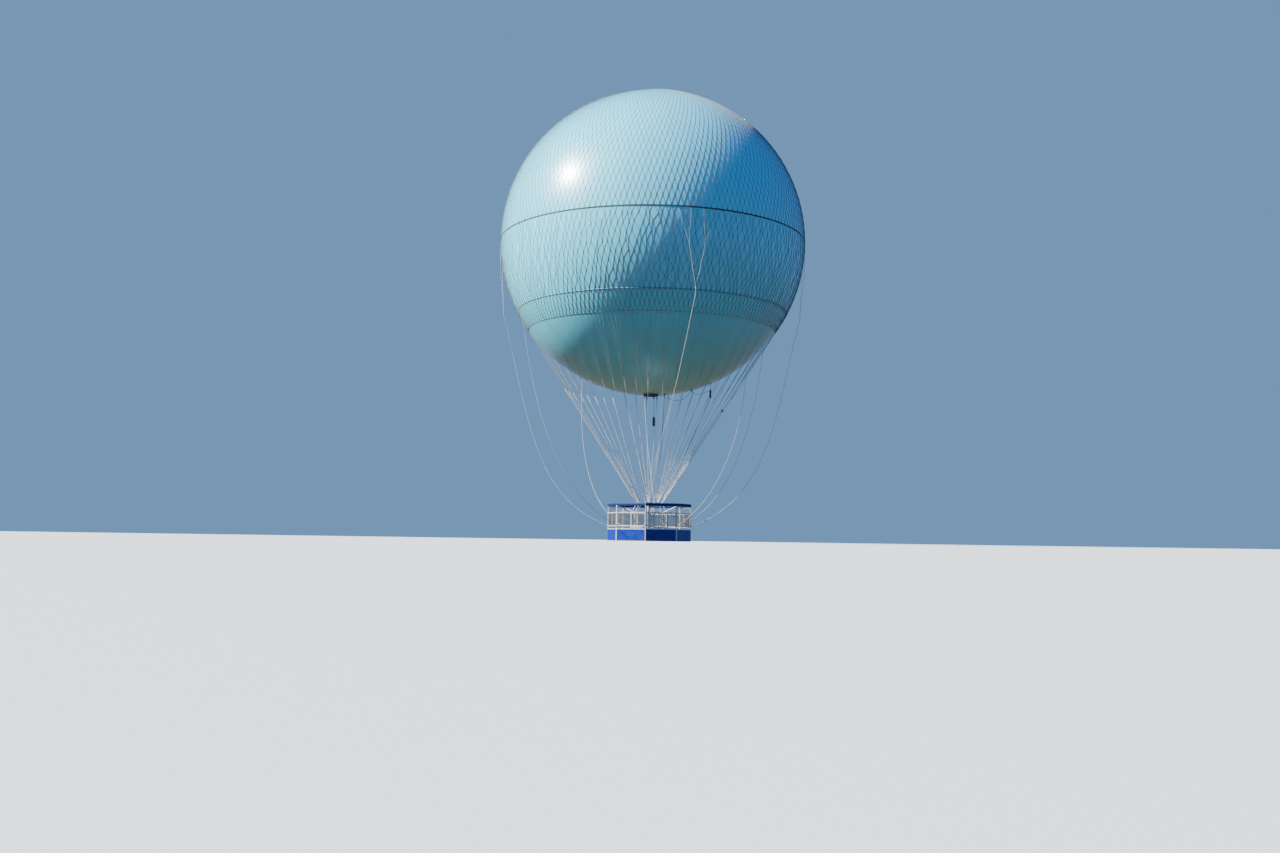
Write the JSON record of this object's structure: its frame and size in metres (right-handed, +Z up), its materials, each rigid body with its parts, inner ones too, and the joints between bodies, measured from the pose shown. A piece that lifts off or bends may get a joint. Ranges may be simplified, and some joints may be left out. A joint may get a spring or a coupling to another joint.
{
  "type": "tethered helium balloon",
  "caption": "Spherical tethered gas balloon with belts, suspension ropes, a load ring with a universal joint, and an eight-sided ring gondola round an open well.",
  "frame": {"origin": "centre of the envelope's sphere, where the lift acts; the gondola's underside is 21.8 m below", "axes": "+Z up along the balloon's axis, -Y towards the boarding side, +X to the right of someone facing the boarding side"},
  "size_m": [22.3571, 22.3396, 33.0166],
  "materials": {
    "coated_fabric": "pale aqua coated fabric with a gloss, fine gore seams",
    "webbing": "dark woven webbing, matt",
    "dark_fitting": "dark satin paint",
    "dark_cord": "dark sheathed cable, satin",
    "cordage": "off-white braided synthetic rope, matt",
    "galvanised": "hot-dip galvanised, dull spangle",
    "blue_paint": "royal blue sheet, satin paint",
    "blue_cover": "navy coated cover over foam",
    "deck_plate": "ribbed aluminium plank, worn",
    "machined_steel": "machined steel, oiled"
  },
  "bodies": {
    "balloon": {"envelope": "coated_fabric", "crown_plate": "galvanised", "crown_valve": "dark_fitting", "base_ring": "dark_fitting", "base_valve": "dark_fitting", "valve_cord": "dark_cord", "valve_cord_weight": "dark_fitting", "cable_clamp": "webbing", "cable_box": "dark_fitting", "sensor_cable": "dark_cord", "equator_belt": "webbing", "lower_band": "webbing", "suspension_ropes_1": "cordage", "suspension_ropes_2": "cordage", "suspension_ropes_3": "cordage", "suspension_ropes_4": "cordage", "suspension_ropes_5": "cordage", "suspension_ropes_6": "cordage", "suspension_ropes_7": "cordage", "suspension_ropes_8": "cordage", "suspension_ropes_9": "cordage", "handling_line_1": "cordage", "handling_line_2": "cordage", "handling_line_3": "cordage", "handling_line_4": "cordage", "handling_line_5": "cordage", "handling_line_6": "cordage", "handling_line_7": "cordage", "handling_line_8": "cordage", "load_ring": "galvanised", "outer_frame": "galvanised", "top_pad": "blue_cover", "deck": "deck_plate", "floor_frame": "galvanised", "inner_frame": "galvanised", "skirt_panel_1": "blue_paint", "skirt_panel_2": "blue_paint", "skirt_panel_3": "blue_paint", "skirt_panel_4": "blue_paint", "skirt_panel_5": "blue_paint", "skirt_panel_6": "blue_paint", "skirt_panel_7": "blue_paint", "skirt_panel_8": "blue_paint", "mesh_panel_2": "galvanised", "mesh_panel_3": "galvanised", "mesh_panel_4": "galvanised", "mesh_panel_5": "galvanised", "mesh_panel_6": "galvanised", "mesh_panel_7": "galvanised", "mesh_panel_8": "galvanised", "gate_side_left": "galvanised", "gate_side_right": "galvanised"},
    "gate": {"gate": "galvanised"},
    "gimbal": {"gimbal_cross": "machined_steel"},
    "tether_fork": {"tether_fork": "machined_steel"},
    "tether": {"tether": "machined_steel"}
  },
  "joints": [
    {"name": "gate_hinge", "type": "hinge", "parent": "balloon", "child": "gate", "pos_m": [0.3474, -2.75127, -20.35], "axis": [0, 0, 1], "range_deg": [0, 95]},
    {"name": "gimbal_pitch", "type": "hinge", "parent": "balloon", "child": "gimbal", "pos_m": [0, 0, -19.4], "axis": [1, 0, 0], "range_deg": [-20, 20]},
    {"name": "gimbal_roll", "type": "hinge", "parent": "gimbal", "child": "tether_fork", "pos_m": [0, 0, -19.4], "axis": [0, 1, 0], "range_deg": [-20, 20]},
    {"name": "tether_swivel", "type": "hinge", "parent": "tether_fork", "child": "tether", "pos_m": [0, 0, -19.7], "axis": [0, 0, 1], "continuous": true}
  ]
}
